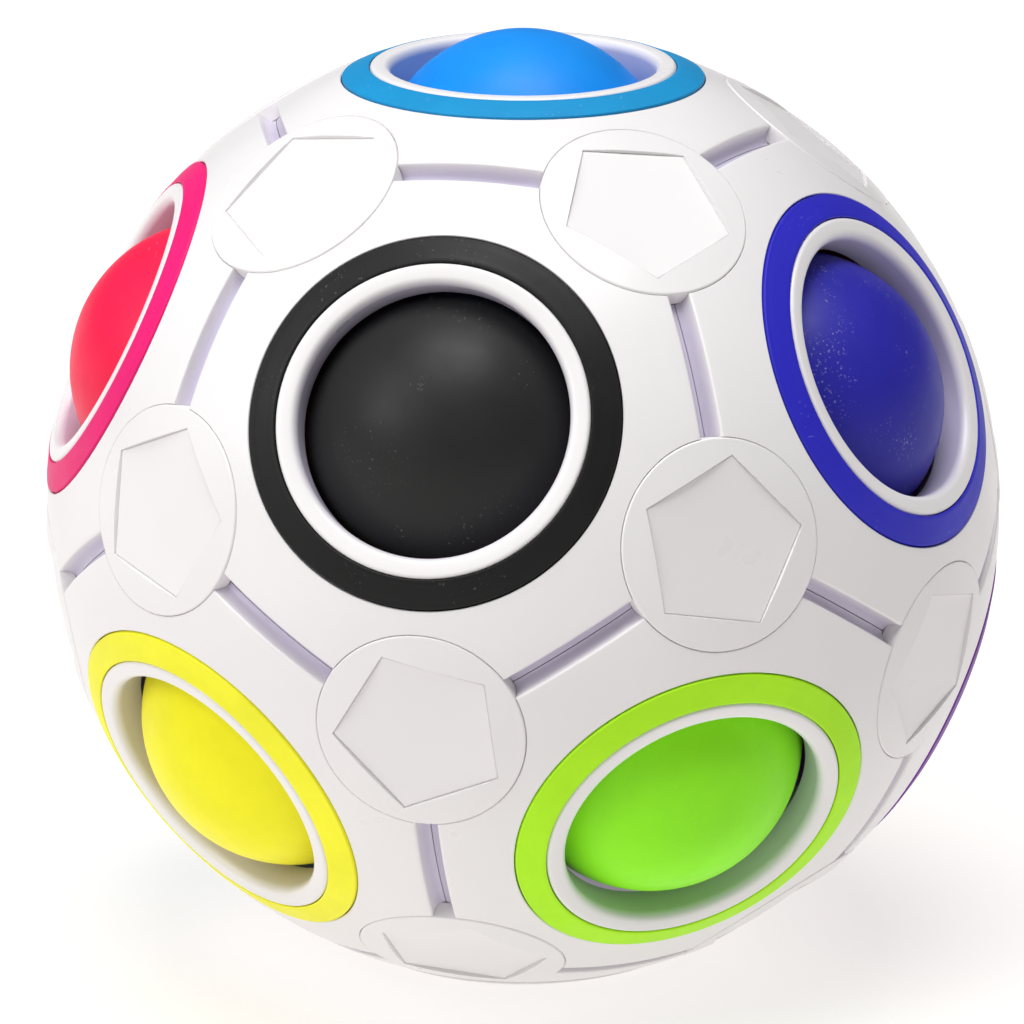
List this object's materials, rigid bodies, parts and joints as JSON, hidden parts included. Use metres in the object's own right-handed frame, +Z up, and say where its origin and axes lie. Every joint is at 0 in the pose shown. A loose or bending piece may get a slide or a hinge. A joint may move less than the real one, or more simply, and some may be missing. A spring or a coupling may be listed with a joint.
{
  "type": "ball-shifting puzzle ball",
  "caption": "Hollow spherical shell with round ringed windows, each holding a loose coloured ball that presses in; one window is empty, so the balls can be shifted over.",
  "frame": {"origin": "middle of the flat lip of the empty window, on which the puzzle stands", "axes": "+Z up, through the middle of the shell and the top window; -Y towards the upper front (black) window"},
  "size_m": [0.0698, 0.0701, 0.0692],
  "materials": {
    "shell_white": "white moulded plastic, satin gloss",
    "cap_white": "white moulded plastic, satin gloss",
    "ring_light_blue": "light blue moulded plastic, satin gloss",
    "ring_black": "black moulded plastic, satin gloss",
    "ring_dark_blue": "dark blue moulded plastic, satin gloss",
    "ring_red": "red moulded plastic, satin gloss",
    "ring_orange": "orange moulded plastic, satin gloss",
    "ring_pink": "pink moulded plastic, satin gloss",
    "ring_lime": "lime moulded plastic, satin gloss",
    "ring_purple": "purple moulded plastic, satin gloss",
    "ring_green": "green moulded plastic, satin gloss",
    "ring_turquoise": "turquoise moulded plastic, satin gloss",
    "ring_yellow": "yellow moulded plastic, satin gloss",
    "ring_white": "white moulded plastic, satin gloss",
    "ball_light_blue": "light blue moulded plastic, satin gloss",
    "ball_black": "black moulded plastic, satin gloss",
    "ball_dark_blue": "dark blue moulded plastic, satin gloss",
    "ball_red": "red moulded plastic, satin gloss",
    "ball_orange": "orange moulded plastic, satin gloss",
    "ball_pink": "pink moulded plastic, satin gloss",
    "ball_lime": "lime moulded plastic, satin gloss",
    "ball_purple": "purple moulded plastic, satin gloss",
    "ball_green": "green moulded plastic, satin gloss",
    "ball_turquoise": "turquoise moulded plastic, satin gloss",
    "ball_yellow": "yellow moulded plastic, satin gloss",
    "core_rubber": "soft matt rubber"
  },
  "bodies": {
    "shell": {"panel_top": "shell_white", "panel_upper_front": "shell_white", "panel_upper_right": "shell_white", "panel_upper_back_right": "shell_white", "panel_upper_back_left": "shell_white", "panel_upper_left": "shell_white", "panel_lower_front_right": "shell_white", "panel_lower_right": "shell_white", "panel_lower_back": "shell_white", "panel_lower_left": "shell_white", "panel_lower_front_left": "shell_white", "panel_bottom": "shell_white", "ring_light_blue": "ring_light_blue", "ring_black": "ring_black", "ring_dark_blue": "ring_dark_blue", "ring_red": "ring_red", "ring_orange": "ring_orange", "ring_pink": "ring_pink", "ring_lime": "ring_lime", "ring_purple": "ring_purple", "ring_green": "ring_green", "ring_turquoise": "ring_turquoise", "ring_yellow": "ring_yellow", "ring_white": "ring_white", "cap_top_1": "cap_white", "cap_top_2": "cap_white", "cap_top_3": "cap_white", "cap_top_4": "cap_white", "cap_top_5": "cap_white", "cap_upper_1": "cap_white", "cap_upper_2": "cap_white", "cap_upper_3": "cap_white", "cap_upper_4": "cap_white", "cap_upper_5": "cap_white", "cap_lower_1": "cap_white", "cap_lower_2": "cap_white", "cap_lower_3": "cap_white", "cap_lower_4": "cap_white", "cap_lower_5": "cap_white", "cap_bottom_1": "cap_white", "cap_bottom_2": "cap_white", "cap_bottom_3": "cap_white", "cap_bottom_4": "cap_white", "cap_bottom_5": "cap_white", "core": "core_rubber"},
    "ball_light_blue": {"ball_light_blue": "ball_light_blue"},
    "ball_black": {"ball_black": "ball_black"},
    "ball_dark_blue": {"ball_dark_blue": "ball_dark_blue"},
    "ball_red": {"ball_red": "ball_red"},
    "ball_orange": {"ball_orange": "ball_orange"},
    "ball_pink": {"ball_pink": "ball_pink"},
    "ball_lime": {"ball_lime": "ball_lime"},
    "ball_purple": {"ball_purple": "ball_purple"},
    "ball_green": {"ball_green": "ball_green"},
    "ball_turquoise": {"ball_turquoise": "ball_turquoise"},
    "ball_yellow": {"ball_yellow": "ball_yellow"}
  },
  "joints": [
    {"name": "press_light_blue", "type": "slide", "parent": "shell", "child": "ball_light_blue", "axis": [0, 0, -1], "range_m": [0, 0.003], "stiffness_N_per_m": 300, "springref_m": -0.0015, "deforming": ["core"]},
    {"name": "press_black", "type": "slide", "parent": "shell", "child": "ball_black", "axis": [0, 0.8944, -0.4472], "range_m": [0, 0.003], "stiffness_N_per_m": 300, "springref_m": -0.0015, "deforming": ["core"]},
    {"name": "press_dark_blue", "type": "slide", "parent": "shell", "child": "ball_dark_blue", "axis": [-0.8507, 0.2764, -0.4472], "range_m": [0, 0.003], "stiffness_N_per_m": 300, "springref_m": -0.0015, "deforming": ["core"]},
    {"name": "press_red", "type": "slide", "parent": "shell", "child": "ball_red", "axis": [-0.5257, -0.7236, -0.4472], "range_m": [0, 0.003], "stiffness_N_per_m": 300, "springref_m": -0.0015, "deforming": ["core"]},
    {"name": "press_orange", "type": "slide", "parent": "shell", "child": "ball_orange", "axis": [0.5257, -0.7236, -0.4472], "range_m": [0, 0.003], "stiffness_N_per_m": 300, "springref_m": -0.0015, "deforming": ["core"]},
    {"name": "press_pink", "type": "slide", "parent": "shell", "child": "ball_pink", "axis": [0.8507, 0.2764, -0.4472], "range_m": [0, 0.003], "stiffness_N_per_m": 300, "springref_m": -0.0015, "deforming": ["core"]},
    {"name": "press_lime", "type": "slide", "parent": "shell", "child": "ball_lime", "axis": [-0.5257, 0.7236, 0.4472], "range_m": [0, 0.003], "stiffness_N_per_m": 300, "springref_m": -0.0015, "deforming": ["core"]},
    {"name": "press_purple", "type": "slide", "parent": "shell", "child": "ball_purple", "axis": [-0.8507, -0.2764, 0.4472], "range_m": [0, 0.003], "stiffness_N_per_m": 300, "springref_m": -0.0015, "deforming": ["core"]},
    {"name": "shift_green", "type": "hinge", "parent": "shell", "child": "ball_green", "pos_m": [0, 0.04094, -0.03284], "axis": [1, 0, 0], "range_deg": [0, 26], "deforming": ["core"]},
    {"name": "press_turquoise", "type": "slide", "parent": "shell", "child": "ball_turquoise", "axis": [0.8507, -0.2764, 0.4472], "range_m": [0, 0.003], "stiffness_N_per_m": 300, "springref_m": -0.0015, "deforming": ["core"]},
    {"name": "press_yellow", "type": "slide", "parent": "shell", "child": "ball_yellow", "axis": [0.5257, 0.7236, 0.4472], "range_m": [0, 0.003], "stiffness_N_per_m": 300, "springref_m": -0.0015, "deforming": ["core"]}
  ]
}
